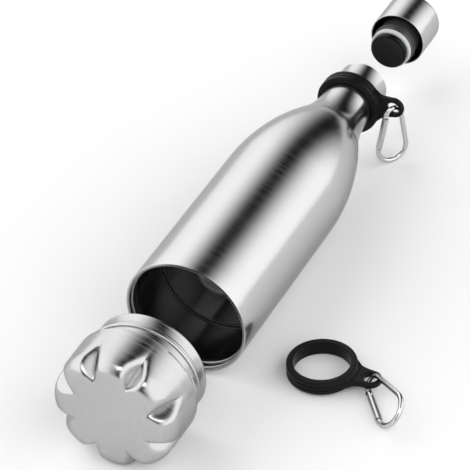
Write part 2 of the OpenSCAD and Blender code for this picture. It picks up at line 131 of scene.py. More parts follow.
def round_brushed(made, amount):
    """Stretches the highlights of a finish that was brushed round the flask's axis."""
    tree = made.node_tree
    skin = tree.nodes["Principled BSDF"]
    skin.inputs["Anisotropic"].default_value = amount
    around = add_node(tree, "ShaderNodeTangent", direction_type="RADIAL", axis="Y")
    tree.links.new(around.outputs["Tangent"], skin.inputs["Tangent"])
    return made


def ringed(made):
    """Lays the grain of a finish in rings round the flask's axis, as on an end that was turned."""
    tree = made.node_tree
    nodes = {node.bl_idname: node for node in tree.nodes}
    across = add_node(tree, "ShaderNodeVectorMath", operation="MULTIPLY")
    across.inputs[1].default_value = (1, 0, 1)
    far = add_node(tree, "ShaderNodeVectorMath", operation="LENGTH")
    tree.links.new(nodes["ShaderNodeTexCoord"].outputs["Object"], across.inputs[0])
    tree.links.new(across.outputs["Vector"], far.inputs[0])
    tree.links.new(far.outputs["Value"], nodes["ShaderNodeMapping"].inputs["Vector"])
    return made


def softened(corners, steps=4):
    """A closed outline of (radius, height, edge), with each corner rounded by its edge."""
    points = []
    count = len(corners)
    for i, (r, z, edge) in enumerate(corners):
        here = np.array([r, z])
        before = np.array(corners[i - 1][:2]) - here
        after = np.array(corners[(i + 1) % count][:2]) - here
        if edge <= 0 or r == 0:
            points.append((r, z))
            continue
        before_len, after_len = np.linalg.norm(before), np.linalg.norm(after)
        near = min(edge, CORNER_SHARE * before_len, CORNER_SHARE * after_len)
        a = here + before / before_len * near
        b = here + after / after_len * near
        for k in range(steps + 1):
            t = k / steps
            points.append(tuple((1 - t) ** 2 * a + 2 * t * (1 - t) * here + t * t * b))
    return points


def put_in_scene(name, data):
    """A new object in the scene that shows a data block."""
    made = bpy.data.objects.new(name, data)
    bpy.context.scene.collection.objects.link(made)
    return made


def face_outwards(mesh, weld=0.0):
    """Turns the faces of a mesh outwards, and first welds the points that lie together."""
    work = bmesh.new()
    work.from_mesh(mesh)
    if weld > 0:
        bmesh.ops.remove_doubles(work, verts=work.verts, dist=weld)
    bmesh.ops.recalc_face_normals(work, faces=work.faces)
    work.to_mesh(mesh)
    work.free()


def add_faces(mesh, other):
    """Adds the faces of another mesh to a mesh."""
    work = bmesh.new()
    work.from_mesh(mesh)
    work.from_mesh(other)
    work.to_mesh(mesh)
    work.free()


def shade_round(mesh, sharp_from):
    """Shades a mesh smoothly, but for edges sharper than an angle in degrees."""
    mesh.shade_smooth()
    mesh.set_sharp_from_angle(angle=math.radians(sharp_from))


def mesh_piece(name, verts, faces, finish, place=LAID, sharp_from=32):
    """A closed piece from points in millimetres, put in place, with its faces turned outwards."""
    mesh = bpy.data.meshes.new(name)
    mesh.from_pydata([tuple(place @ (Vector(v) * MM)) for v in verts], [], faces)
    face_outwards(mesh, WELD)
    mesh.materials.append(finish)
    shade_round(mesh, sharp_from)
    return put_in_scene(name, mesh)


def at_height(z):
    """Place of something that stands z millimetres along the flask."""
    return LAID @ Matrix.Translation((0, 0, z * MM))


def turned(name, outline, finish, place=LAID, around=192, sharp_from=32):
    """A piece turned on a lathe, from its closed outline of (radius, height)."""
    verts, rows = [], []
    for r, z in outline:
        if r < TINY:
            rows.append([len(verts)] * around)
            verts.append((0, 0, z))
        else:
            rows.append(list(range(len(verts), len(verts) + around)))
            verts += [(r * math.cos(2 * math.pi * k / around),
                       r * math.sin(2 * math.pi * k / around), z) for k in range(around)]
    faces = []
    for i in range(len(rows)):
        low, high = rows[i], rows[(i + 1) % len(rows)]
        if low[0] == low[1] and high[0] == high[1]:
            continue
        for k in range(around):
            m = (k + 1) % around
            face = [low[k], low[m], high[m], high[k]]
            faces.append(list(dict.fromkeys(face)))
    return mesh_piece(name, verts, faces, finish, place, sharp_from)


def paint(piece, finish, picked):
    """Gives a second finish to the faces that are picked by their radius and place along the
    flask, both in millimetres."""
    piece.data.materials.append(finish)
    for face in piece.data.polygons:
        x, y, z = face.center / MM
        if picked(math.hypot(x, z), y):
            face.material_index = len(piece.data.materials) - 1


def shoulder_line(off, steps=40):
    """The two curves of the shoulder, for a face that lies off below the outside."""
    drop = FLASK_R - NECK_R
    both = (SHOULDER_LEN ** 2 + drop ** 2) / (2 * drop)
    lower = both - SHOULDER_R
    sweep = math.asin(SHOULDER_LEN / both)
    line = [(FLASK_R - SHOULDER_R + (SHOULDER_R - off) * math.cos(sweep * i / steps),
             STRAIGHT_LEN + (SHOULDER_R - off) * math.sin(sweep * i / steps))
            for i in range(steps + 1)]
    top = STRAIGHT_LEN + SHOULDER_LEN
    line += [(NECK_R + lower - (lower + off) * math.cos(sweep * i / steps),
              top - (lower + off) * math.sin(sweep * i / steps))
             for i in range(steps - 1, -1, -1)]
    return line


brushed_steel = round_brushed(
    surface("brushed_steel", STEEL, metallic=1, rough=0.19, rough_spread=0.05,
            grain=(9, 800, 9), grain_depth=0.02, patch=0.15, Specular_Tint=STEEL_TINT), 0.5)
# Steel painted dark: painted shade for the steel inside the compartment's recess.
dark_steel = surface("dark_steel", (0.12, 0.12, 0.123), metallic=1, rough=0.16, rough_spread=0.05,
                     grain=(40, 1200, 40), grain_depth=0.01, colour_spread=0.1)

outer_line = (
    [(FLASK_R - 0.35, 0.0), (FLASK_R - 0.12, 0.06), (FLASK_R - 0.02, 0.2), (FLASK_R, 0.4)]
    + [(FLASK_R, y) for y in WALL_ROWS]
    + shoulder_line(0)
    + [(NECK_R, NECK_STEP - 9), (NECK_R, NECK_STEP - 5), (NECK_R, NECK_STEP - 0.3),
       (NECK_R - 0.1, NECK_STEP + 0.1), (FINISH_R + 0.1, NECK_STEP + 0.5),
       (FINISH_R, NECK_STEP + 0.8), (FINISH_R, MOUTH - OUTER_WALL)]
)
inner_line = (
    [(SHELL_IN_R, 0.0)]
    + [(SHELL_IN_R, y) for y in WALL_ROWS]
    + shoulder_line(OUTER_WALL)
    + [(NECK_R - OUTER_WALL, NECK_STEP - 1), (FINISH_R - OUTER_WALL, NECK_STEP),
       (FINISH_R - OUTER_WALL, MOUTH - OUTER_WALL)]
)
outer_shell = turned("flask_outer_wall", outer_line + inner_line[::-1], brushed_steel, around=256)

# The inner face of the straight wall is painted dark, as painted shade inside the compartment, and the rim
# at y = 0 is left bright.
paint(outer_shell, dark_steel, lambda r, y: r < FLASK_R - 0.6 * OUTER_WALL and 1e-3 < y < STRAIGHT_LEN)
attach(outer_shell, "flask")
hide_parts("outer_shell")

# Inner flask
# Deep-drawn inner wall that holds the drink. It is welded to the outer wall at
# the mouth, and the thread for the stopper is rolled into the wide part of its neck.

INNER_WALL = 0.6
VACUUM_GAP = 2.4
INNER_OFF = OUTER_WALL + VACUUM_GAP
INNER_R = FLASK_R - INNER_OFF
INNER_CORNER = 8.0
STASH_DEPTH = 40.0
PLATE = 0.8
CEILING_GAP = 6.0
INNER_FLOOR = STASH_DEPTH + PLATE + CEILING_GAP
NECK_BORE_R = 13.4
DRINK_BORE_R = 11.6
SEAL_SEAT = 211.4

# Threads of the neck and the stopper. A bead fades out at its ends to a share of its
# thickness, over a share of the thread's length.
CAP_CLOSED = 222.5
CAP_PITCH = 3.0
CAP_TURNS = 1.5
CAP_BEAD = 0.68
STEM_THREAD_AT = -6.7
THREAD_START = 20.0
THREAD_OFF = 0.1
THREAD_STEPS = 96
FADE_LEN = 0.06
FADE_END = 0.12


def tree_with(name, inputs):
    """An empty Geometry Nodes tree with named inputs of (name, socket type, value)."""
    tree = bpy.data.node_groups.new(name, "GeometryNodeTree")
    tree.interface.new_socket("Geometry", in_out="INPUT", socket_type="NodeSocketGeometry")
    for label, kind, value in inputs:
        socket = tree.interface.new_socket(label, in_out="INPUT", socket_type=kind)
        if value is not None:
            socket.default_value = value
    tree.interface.new_socket("Geometry", in_out="OUTPUT", socket_type="NodeSocketGeometry")
    return tree, tree.nodes.new("NodeGroupInput")


def wire_row(tree, *stops):
    """Joins pairs of (node, socket) in a tree: an output, then the input that it feeds."""
    for (giver, out), (taker, into) in zip(stops[::2], stops[1::2]):
        tree.links.new(giver.outputs[out], taker.inputs[into])


def end_tree(tree, given, shape):
    """Ends a tree: its shape is made real, takes the finish that was given, and leaves."""
    real = add_node(tree, "GeometryNodeRealizeInstances")
    dressed = add_node(tree, "GeometryNodeSetMaterial")
    leave = tree.nodes.new("NodeGroupOutput")
    wire_row(tree, (shape, 0), (real, "Geometry"), (real, "Geometry"), (dressed, "Geometry"),
             (given, "Finish"), (dressed, "Material"), (dressed, "Geometry"), (leave, "Geometry"))


def grown(name, start, tree, values):
    """Runs a Geometry Nodes tree on a data block and returns the result as a plain mesh."""
    carrier = put_in_scene(name + "_start", start)
    growth = carrier.modifiers.new(name, "NODES")
    growth.node_group = tree
    for item in tree.interface.items_tree:
        if item.in_out == "INPUT" and item.name in values:
            growth[item.identifier] = values[item.name]
    seen = carrier.evaluated_get(bpy.context.evaluated_depsgraph_get())
    mesh = bpy.data.meshes.new_from_object(seen)
    bpy.data.objects.remove(carrier)
    return mesh


# A rolled thread: a round bead swept along a helix, thin at both of its ends. The spiral
# node turns to the left, so it is reversed for a right-hand thread.
thread_tree, given = tree_with("rolled_thread", [
    ("Turns", "NodeSocketFloat", 1.0), ("Radius", "NodeSocketFloat", 0.03),
    ("Pitch", "NodeSocketFloat", 0.004), ("Bead", "NodeSocketFloat", 0.001),
    ("Facets", "NodeSocketInt", 12), ("Finish", "NodeSocketMaterial", None)])
helix = add_node(thread_tree, "GeometryNodeCurveSpiral", Resolution=THREAD_STEPS, Reverse=True)
rise = add_node(thread_tree, "ShaderNodeMath", operation="MULTIPLY")
along = add_node(thread_tree, "GeometryNodeSplineParameter")
to_end = add_node(thread_tree, "ShaderNodeMath", operation="SUBTRACT")
to_end.inputs[0].default_value = 1.0
nearer = add_node(thread_tree, "ShaderNodeMath", operation="MINIMUM")
fade = add_node(thread_tree, "ShaderNodeMapRange", interpolation_type="SMOOTHSTEP",
                From_Max=FADE_LEN, To_Min=FADE_END)
round_bead = add_node(thread_tree, "GeometryNodeCurvePrimitiveCircle")
swept = add_node(thread_tree, "GeometryNodeCurveToMesh", Fill_Caps=True)
smooth_bead = add_node(thread_tree, "GeometryNodeSetShadeSmooth")
wire_row(thread_tree,
         (given, "Turns"), (helix, "Rotations"), (given, "Radius"), (helix, "Start Radius"),
         (given, "Radius"), (helix, "End Radius"), (given, "Turns"), (rise, 0),
         (given, "Pitch"), (rise, 1), (rise, 0), (helix, "Height"),
         (along, "Factor"), (to_end, 1), (along, "Factor"), (nearer, 0),
         (to_end, 0), (nearer, 1), (nearer, 0), (fade, "Value"),
         (given, "Bead"), (round_bead, "Radius"), (given, "Facets"), (round_bead, "Resolution"),
         (helix, "Curve"), (swept, "Curve"), (round_bead, "Curve"), (swept, "Profile Curve"),
         (fade, "Result"), (swept, "Scale"), (swept, "Mesh"), (smooth_bead, "Geometry"))
end_tree(thread_tree, given, smooth_bead)


def add_thread(piece, turns, radius, pitch, bead, start_angle, place, flatten=1.0):
    """Grows a right-hand thread and joins it to a piece. The bead stands half out of the wall,
    and a flattened bead is lower along the axis."""
    mesh = grown(piece.name + "_thread", bpy.data.meshes.new("empty"), thread_tree, {
        "Turns": turns, "Radius": radius * MM, "Pitch": pitch / flatten * MM, "Bead": bead * MM,
        "Finish": piece.data.materials[0]})
    mesh.transform(place @ Matrix.Rotation(math.radians(start_angle), 4, "Z")
                   @ Matrix.Diagonal((1, 1, flatten, 1)))
    face_outwards(mesh)
    add_faces(piece.data, mesh)
    bpy.data.meshes.remove(mesh)


def corner_arc(cx, cy, radius, steps=8):
    """A quarter circle that leads from a floor up to a wall."""
    return [(cx + radius * math.cos(math.radians(-90 + 90 * i / steps)),
             cy + radius * math.sin(math.radians(-90 + 90 * i / steps))) for i in range(steps + 1)]


plain_steel = surface("plain_steel", (0.66, 0.66, 0.67), metallic=1, rough=0.3, rough_spread=0.06,
                      grain=(60, 700, 60), grain_depth=0.01, colour_spread=0.05)

inner_outside = (
    [(0, INNER_FLOOR)]
    + corner_arc(INNER_R - INNER_CORNER, INNER_FLOOR + INNER_CORNER, INNER_CORNER)
    + shoulder_line(INNER_OFF)
    + [(NECK_R - INNER_OFF, SEAL_SEAT - 1), (NECK_BORE_R + INNER_WALL, SEAL_SEAT - 0.4),
       (NECK_BORE_R + INNER_WALL, MOUTH - PLATE), (FINISH_R - 0.05, MOUTH - PLATE),
       (FINISH_R, MOUTH - 0.6), (FINISH_R - 0.1, MOUTH - 0.2), (FINISH_R - 0.4, MOUTH)]
)
inner_inside = (
    [(0, INNER_FLOOR + INNER_WALL)]
    + corner_arc(INNER_R - INNER_CORNER, INNER_FLOOR + INNER_CORNER, INNER_CORNER - INNER_WALL)
    + shoulder_line(INNER_OFF + INNER_WALL)
    + [(DRINK_BORE_R, SEAL_SEAT - 3), (DRINK_BORE_R, SEAL_SEAT), (NECK_BORE_R, SEAL_SEAT),
       (NECK_BORE_R, MOUTH - 0.4), (NECK_BORE_R + 0.3, MOUTH)]
)
inner_flask = turned("flask_inner_wall", inner_outside + inner_inside[::-1], plain_steel)

# The neck's thread lies half a pitch from the stopper's when the cap is screwed home.
neck_thread_low = CAP_CLOSED + STEM_THREAD_AT + CAP_PITCH * (0.5 - THREAD_START / 360)
add_thread(inner_flask, CAP_TURNS, NECK_BORE_R + THREAD_OFF, CAP_PITCH, CAP_BEAD,
           -THREAD_START - 360 * CAP_TURNS, at_height(neck_thread_low))
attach(inner_flask, "flask")
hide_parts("inner_flask")

# Ceiling of the compartment
# A pressed steel plate with a turned-in skirt closes the vacuum, and a round cap
# is fixed over the point in its middle where the air was drawn out.

SKIRT = 5.0
# Width of the painted highlight round the ceiling plate's edge.
HIGHLIGHT_BAND = 1.3
SEAL_CAP_R = 13.0
SEAL_CAP_T = 0.55
SEAL_CAP_RIM = 0.8


def dress(node, finish):
    """Gives a finish to a solid that is shown as it is."""
    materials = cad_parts[node].data.materials
    materials.clear()
    materials.append(finish)


# The seal cap's steel is darkened as painted shade inside the compartment.
painted_shade_cap_steel = surface("seal_cap_painted_shade_steel", (0.24, 0.24, 0.245), metallic=1, rough=0.4, rough_spread=0.08,
                    grain=(500, 40, 500), grain_depth=0.01, colour_spread=0.12)
# A bright edge is a painted highlight along the rims of the ceiling plate and the seal cap.
painted_highlight_edge = surface("painted_highlight_edge", (0.62, 0.62, 0.63), metallic=1, rough=0.5, rough_spread=0.08,
                    grain=(400, 400, 400), grain_depth=0.01, colour_spread=0.08)

ceiling = turned("compartment_ceiling", softened([
    (0, 0, 0), (SHELL_IN_R - 1.8, 0, 0.6), (SHELL_IN_R, 0.3, 0.9), (SHELL_IN_R, SKIRT, 0.2),
    (SHELL_IN_R - PLATE, SKIRT, 0.2), (SHELL_IN_R - PLATE, 1.2, 0.6), (SHELL_IN_R - 2, PLATE, 0.4),
    (0, PLATE, 0)]), dark_steel, at_height(STASH_DEPTH))
# The plate is painted shade steel, and a band round its edge is a painted highlight.
paint(ceiling, painted_highlight_edge, lambda r, y: r > SHELL_IN_R - HIGHLIGHT_BAND and y < STASH_DEPTH + 0.6)
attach(ceiling, "flask")
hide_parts("vacuum_base")

seal_cap = turned("vacuum_seal_cap", softened([
    (0, -SEAL_CAP_T, 0), (SEAL_CAP_R - 2.6, -SEAL_CAP_T, 0.4), (SEAL_CAP_R - 2.1, -SEAL_CAP_RIM, 0.3),
    (SEAL_CAP_R - 0.4, -SEAL_CAP_RIM, 0.3), (SEAL_CAP_R, -0.5, 0.3), (SEAL_CAP_R, 0, 0), (0, 0, 0)]),
    painted_shade_cap_steel, at_height(STASH_DEPTH))
# The cap's rim is a painted highlight.
paint(seal_cap, painted_highlight_edge, lambda r, y: r > SEAL_CAP_R - 0.45)
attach(seal_cap, "flask")
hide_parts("seal_cap")

# The getter is a pellet of sintered metal that soaks up stray gas in the vacuum.
getter_metal = surface("getter_metal", (0.2, 0.2, 0.2), metallic=0.6, rough=0.7, rough_spread=0.1,
                       grain=(3000, 3000, 3000), grain_depth=0.05)
dress("getter", getter_metal)

# Compartment collar
# A turned steel collar is welded inside the mouth of the compartment. Its inner
# edge carries the thread that the base lid screws into.

COLLAR_LEN = 9.0
COLLAR_R = 33.2
COLLAR_TURNS = 1.2
COLLAR_BEAD = 1.05
COLLAR_THREAD_OFF = 0.15
LID_PITCH = 4.4
LID_CLOSED = -1.1
LID_THREAD_AT = 8.75
LID_THREAD_FLAT = 0.9

# The collar's steel is darkened as painted shade in the compartment's mouth.
painted_shade_collar_steel = surface("painted_shade_collar_steel", (0.3, 0.3, 0.305), metallic=1, rough=0.3, rough_spread=0.08,
                       grain=(12, 1500, 12), grain_depth=0.01, colour_spread=0.12)
collar = turned("compartment_collar", softened([
    (COLLAR_R, 0.05, 0.3), (SHELL_IN_R, 0.05, 0), (SHELL_IN_R, COLLAR_LEN, 0.1),
    (COLLAR_R, COLLAR_LEN, 0.5)]), painted_shade_collar_steel)

# The collar's thread lies half a pitch from the lid's when the lid is screwed home.
collar_thread_low = LID_CLOSED + LID_THREAD_AT - LID_PITCH * (1.5 - THREAD_START / 360)
add_thread(collar, COLLAR_TURNS, COLLAR_R + COLLAR_THREAD_OFF, LID_PITCH, COLLAR_BEAD, THREAD_START,
           at_height(collar_thread_low), flatten=LID_THREAD_FLAT)
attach(collar, "flask")
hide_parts("compartment_collar")

# Base lid
# A steel cup with a threaded neck is pressed into a dented steel shell. Eight
# leaf-shaped dents run from the flat end up the side, like those of a drink bottle.

LID_AT = -57.5
LID_SIDE = 29.5
LID_EDGE_R = 9.0
LID_LIP = 0.25
LID_NECK_R = 31.8
LID_NECK_LEN = 17.5
LID_BORE_R = 30.9
LID_SHOULDER_T = 1.2
LID_CUP_DEPTH = 11.0
LID_TURNS = 1.1
LID_BEAD = 1.15
LID_STEEL = (0.47, 0.47, 0.475)
GROOVE_LOW = 10.6
GROOVE_TOP = 16.1
GROOVE_DEPTH = 0.25
GASKET_T = 1.0
PAD_LOW = -6.3
PAD_T = 3.0

# The lid's outside is measured from its eye, a point on its axis.
LID_EYE = -10.0
DENTS = 8
DENT_LEN = 16.0
DENT_DEPTH = 12.3
DENT_ANGLE = 84.0
DENT_CREASE = 0.35
DENT_ROLL = 2.3

lid_steel = round_brushed(
    surface("lid_steel", LID_STEEL, metallic=1, rough=0.21, rough_spread=0.09,
            grain=(9, 700, 9), grain_depth=0.03, colour_spread=0.14, patch=0.1,
            Specular_Tint=STEEL_TINT), 0.4)
turned_end_steel = ringed(round_brushed(
    surface("turned_end_steel", LID_STEEL, metallic=1, rough=0.24, rough_spread=0.1,
            grain=(900, 0, 0), grain_depth=0.03, colour_spread=0.14, patch=0.25,
            Specular_Tint=STEEL_TINT), 0.4))

lid_cup = turned("base_lid_cup", softened([
    (0, -LID_CUP_DEPTH - PLATE, 0), (LID_NECK_R, -LID_CUP_DEPTH - PLATE, 0.8),
    (LID_NECK_R, -LID_SHOULDER_T, 0.1), (SHELL_IN_R, -LID_SHOULDER_T, 0),
    (SHELL_IN_R, 0, 0), (LID_NECK_R, 0, 0.4), (LID_NECK_R, GROOVE_LOW, 0.4),
    (LID_NECK_R - GROOVE_DEPTH, GROOVE_LOW + 0.6, 0.4), (LID_NECK_R - GROOVE_DEPTH, GROOVE_TOP - 0.3, 0.3),
    (LID_NECK_R - 0.05, GROOVE_TOP, 0.3), (LID_NECK_R, LID_NECK_LEN, 0.45),
    (LID_BORE_R, LID_NECK_LEN, 0.35), (LID_BORE_R, -LID_CUP_DEPTH, 1.2),
    (0, -LID_CUP_DEPTH, 0)]), lid_steel, at_height(LID_AT))
add_thread(lid_cup, LID_TURNS, LID_NECK_R - THREAD_OFF, LID_PITCH, LID_BEAD, -360 * LID_TURNS,
           at_height(LID_AT + LID_THREAD_AT - LID_PITCH * LID_TURNS), flatten=LID_THREAD_FLAT)
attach(lid_cup, "base_lid")
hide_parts("base_cap_cup")


def lid_reach(angle, lean):
    """How far the lid's outside lies from its eye along a direction. Two planes cut each
    dent; they meet in a soft crease and roll softly into the side."""
    dr, dz = math.cos(lean), math.sin(lean)
    side = FLASK_R / dr if dr > TINY else math.inf
    flat = (-LID_SIDE - LID_EYE) / dz if dz < -TINY else math.inf
    reach = min(side, flat)
    # the rounded edge is a ring, whose round section is centred here
    cr, cz = FLASK_R - LID_EDGE_R, -LID_SIDE + LID_EDGE_R
    along = dr * cr + dz * (cz - LID_EYE)
    off = cr * cr + (cz - LID_EYE) ** 2 - along * along
    if off < LID_EDGE_R ** 2:
        far = along + math.sqrt(LID_EDGE_R ** 2 - off)
        if dr * far > cr and LID_EYE + dz * far < cz:
            reach = far
    half = math.radians(DENT_ANGLE / 2)
    rise = math.atan(DENT_DEPTH / DENT_LEN)
    sector = 2 * math.pi / DENTS
    a = (angle % sector) - sector / 2
    ray = np.array([dr * math.cos(a), dr * math.sin(a), dz])
    start = np.array([0, 0, LID_EYE])
    apex = np.array([FLASK_R - DENT_DEPTH, 0, -LID_SIDE])
    out = np.array([math.cos(rise), 0, -math.sin(rise)])
    cuts = []
    for turn in (1, -1):
        # a point in the dent lies past this plane
        normal = out * math.sin(half) - np.array([0, turn * math.cos(half), 0])
        slope = float(ray @ normal)
        if slope <= TINY:
            return reach
        cuts.append(float((apex - start) @ normal) / slope)
    p, q = cuts
    cut = 0.5 * (p + q + math.sqrt((p - q) ** 2 + DENT_CREASE ** 2))
    return 0.5 * (reach + cut - math.sqrt((reach - cut) ** 2 + DENT_ROLL ** 2))


def grid_faces(rows, columns, first=0, closed=False):
    """Four-sided faces between rows of points. A closed row joins its end to its start."""
    wide = columns if closed else columns + 1
    faces = []
    for j in range(rows):
        for i in range(columns):
            k, n = first + j * wide + i, first + j * wide + (i + 1) % wide
            faces.append([k, n, n + wide, k + wide])
    return faces


def lid_sector(columns=30, rows=84):
    """One of the lid's sectors: outside, inside and the rim that joins them."""
    low_lean, high_lean = -math.pi / 2, math.atan2(-LID_EYE, FLASK_R)
    sector = 2 * math.pi / DENTS
    # the wall is measured along a slanting line, which makes it a little longer
    slant_wall = 1.05 * OUTER_WALL
    verts = []
    for inward in (0, 1):
        for j in range(rows + 1):
            lean = low_lean + (high_lean - low_lean) * j / rows
            for i in range(columns + 1):
                a = sector * i / columns
                far = lid_reach(a, max(lean, low_lean + 1e-4)) - inward * slant_wall
                r, z = far * math.cos(lean), LID_EYE + far * math.sin(lean)
                if j == 0:
                    r = 0.0
                if j == rows:
                    r, z = (SHELL_IN_R if inward else FLASK_R - 0.2), 0.0
                if j == rows - 1 and not inward:
                    r, z = FLASK_R, -LID_LIP
                verts.append((r * math.cos(a), r * math.sin(a), z))
    per = (rows + 1) * (columns + 1)
    faces = grid_faces(rows, columns) + grid_faces(rows, columns, per)
    rim = rows * (columns + 1)
    faces += [[rim + i, rim + i + 1, rim + i + 1 + per, rim + i + per] for i in range(columns)]
    mesh = bpy.data.meshes.new("lid_sector")
    mesh.from_pydata([tuple(Vector(v) * MM) for v in verts], [], faces)
    return mesh


# The lid's sectors: one is repeated round the axis and welded to its neighbours.
sector_tree, given = tree_with("lid_sectors", [
    ("Count", "NodeSocketInt", DENTS), ("Weld", "NodeSocketFloat", SECTOR_WELD),
    ("Finish", "NodeSocketMaterial", None)])
spots = add_node(sector_tree, "GeometryNodeMeshLine", Offset=(0, 0, 0))
copies = add_node(sector_tree, "GeometryNodeInstanceOnPoints")
number = add_node(sector_tree, "GeometryNodeInputIndex")
step = add_node(sector_tree, "ShaderNodeMath", operation="DIVIDE")
step.inputs[0].default_value = 2 * math.pi
turn = add_node(sector_tree, "ShaderNodeMath", operation="MULTIPLY")
about = add_node(sector_tree, "ShaderNodeCombineXYZ")
joined = add_node(sector_tree, "GeometryNodeRealizeInstances")
weld = add_node(sector_tree, "GeometryNodeMergeByDistance")
wire_row(sector_tree,
         (given, "Count"), (spots, "Count"), (given, "Geometry"), (copies, "Instance"),
         (spots, "Mesh"), (copies, "Points"), (given, "Count"), (step, 1),
         (number, "Index"), (turn, 0), (step, 0), (turn, 1),
         (turn, 0), (about, "Z"), (about, "Vector"), (copies, "Rotation"),
         (copies, "Instances"), (joined, "Geometry"), (joined, "Geometry"), (weld, "Geometry"),
         (given, "Weld"), (weld, "Distance"))
end_tree(sector_tree, given, weld)

lid_mesh = grown("base_lid_shell", lid_sector(), sector_tree, {"Count": DENTS, "Finish": lid_steel})
lid_mesh.transform(at_height(LID_AT))
face_outwards(lid_mesh)
shade_round(lid_mesh, 40)
lid_shell = put_in_scene("base_lid_shell", lid_mesh)
paint(lid_shell, turned_end_steel, lambda r, y: y < LID_AT - LID_SIDE + 0.3)
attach(lid_shell, "base_lid")
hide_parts("base_cap_shell")

silicone = surface("silicone", (0.56, 0.56, 0.555), rough=0.45, rough_spread=0.08,
                   grain=(700, 700, 700), grain_depth=0.01, colour_spread=0.04,
                   Subsurface_Weight=0.05)
lid_gasket = turned("base_lid_gasket", softened([
    (LID_NECK_R + 0.05, 0.02, 0.25), (SHELL_IN_R - 0.2, 0.02, 0.3),
    (SHELL_IN_R - 0.2, GASKET_T, 0.3), (LID_NECK_R + 0.05, GASKET_T, 0.25)]),
    silicone, at_height(LID_AT))
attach(lid_gasket, "lid_seal")
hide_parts("base_cap_gasket")

foam = surface("closed_cell_foam", (0.11, 0.11, 0.11), rough=0.85, rough_spread=0.1,
               grain=(1400, 1400, 1400), grain_depth=0.2, colour_spread=0.25)
lid_pad = turned("base_lid_pad", softened([
    (0, PAD_LOW, 0), (LID_BORE_R - 0.3, PAD_LOW, 0.5), (LID_BORE_R - 0.3, PAD_LOW + PAD_T, 0.8),
    (0, PAD_LOW + PAD_T, 0)]), foam, at_height(LID_AT))
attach(lid_pad, "lid_pad")
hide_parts("base_cap_pad")

# Drinking cap
# A brushed steel cup is pressed over a black moulding with a deep recess. The
# stopper stands out of it: a thread, a silicone seal and a glossy nose.

CAP_AT = 287.0
CAP_R = 17.0
CAP_LEN = 26.0
CAP_WALL = 0.6
CAP_FLOOR = 14.5
CAP_FLOOR_T = 1.5
LINER_R = CAP_R - CAP_WALL
LINER_T = 0.8
PLUG_ROOT_R = 12.3
PLUG_BORE_R = 9.0
STEM_R = 10.3
SEAL_R = 12.5
NOSE_R = 11.25

# Along the stopper: the nose's face, its back, the back of the seal's groove, and the
# end of the pin that holds the nose in the stem.
FACE = -14.5
NOSE_BACK = FACE + 3.5
SEAL_BACK = FACE + 6.5
NOSE_PIN_END = FACE + 7.5
FOAM_R = 14.2
FOAM_LOW = 16.3
FOAM_TOP = 20.6

# The nose's front is dished inside a raised ring, as (radius, height over the face).
NOSE_FRONT = ((0, 1.1), (2.4, 1.07), (4.8, 0.9), (6.8, 0.66), (8.2, 0.42), (9.2, 0.16), (9.65, 0.04),
              (10.05, 0), (10.5, 0.1), (10.88, 0.36), (11.14, 0.72), (NOSE_R, 1.1), (NOSE_R, 3.2),
              (NOSE_R - 0.1, 3.45))

cap_shell = turned("drinking_cap_shell", softened([
    (LINER_R, 0, 0.15), (CAP_R, 0, 0.3), (CAP_R, CAP_LEN / 2, 0), (CAP_R, CAP_LEN, 2.4),
    (0, CAP_LEN, 0), (0, CAP_LEN - CAP_WALL, 0), (LINER_R, CAP_LEN - CAP_WALL, 1.8)], steps=8),
    brushed_steel, at_height(CAP_AT))
paint(cap_shell, turned_end_steel, lambda r, y: y > CAP_AT + CAP_LEN - 0.1)
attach(cap_shell, "top_cap")
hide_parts("top_cap_shell")

black_plastic = surface("black_plastic", (0.004, 0.004, 0.0042), rough=0.3, rough_spread=0.07,
                        grain=(1200, 1200, 1200), grain_depth=0.015, colour_spread=0.2,
                        Specular_IOR_Level=0.12)
gloss_plastic = surface("gloss_black_plastic", (0.003, 0.003, 0.0032), rough=0.09, rough_spread=0.03,
                        grain=(300, 300, 300), grain_depth=0.004, colour_spread=0.15,
                        Specular_IOR_Level=0.14)
# Black stem plastic lifted to grey as painted light.
painted_light_stem_plastic = surface("stem_plastic_painted_light", (0.035, 0.035, 0.036), rough=0.32, rough_spread=0.08,
                       grain=(1200, 1200, 1200), grain_depth=0.015, colour_spread=0.12)
cap_body = turned("drinking_cap_body", softened([
    (PLUG_BORE_R, NOSE_BACK, 0), (STEM_R, NOSE_BACK, 0), (STEM_R, SEAL_BACK, 0),
    (PLUG_ROOT_R, SEAL_BACK, 0.4), (PLUG_ROOT_R, CAP_FLOOR, 0.8), (LINER_R - LINER_T, CAP_FLOOR, 1),
    (LINER_R - LINER_T, 0.6, 0.4), (LINER_R, 0.3, 0.1), (LINER_R, CAP_FLOOR + CAP_FLOOR_T, 0.4),
    (PLUG_BORE_R, CAP_FLOOR + CAP_FLOOR_T, 0)]), black_plastic, at_height(CAP_AT))
add_thread(cap_body, CAP_TURNS, PLUG_ROOT_R + THREAD_OFF, CAP_PITCH, CAP_BEAD, 0,
           at_height(CAP_AT + STEM_THREAD_AT))

# The stem and its thread are black like the rest of the moulding, and are painted greyer as painted light.
paint(cap_body, painted_light_stem_plastic, lambda r, y: r < PLUG_ROOT_R + 0.9 and y < CAP_AT + CAP_FLOOR - 1)
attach(cap_body, "top_cap")
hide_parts("top_cap_body")

nose = turned("stopper_nose", [(r, FACE + z) for r, z in NOSE_FRONT] + [
    (PLUG_BORE_R, NOSE_BACK), (PLUG_BORE_R - 0.02, NOSE_PIN_END), (0, NOSE_PIN_END)],
    gloss_plastic, at_height(CAP_AT), sharp_from=50)
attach(nose, "top_cap")
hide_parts("stopper_plug")

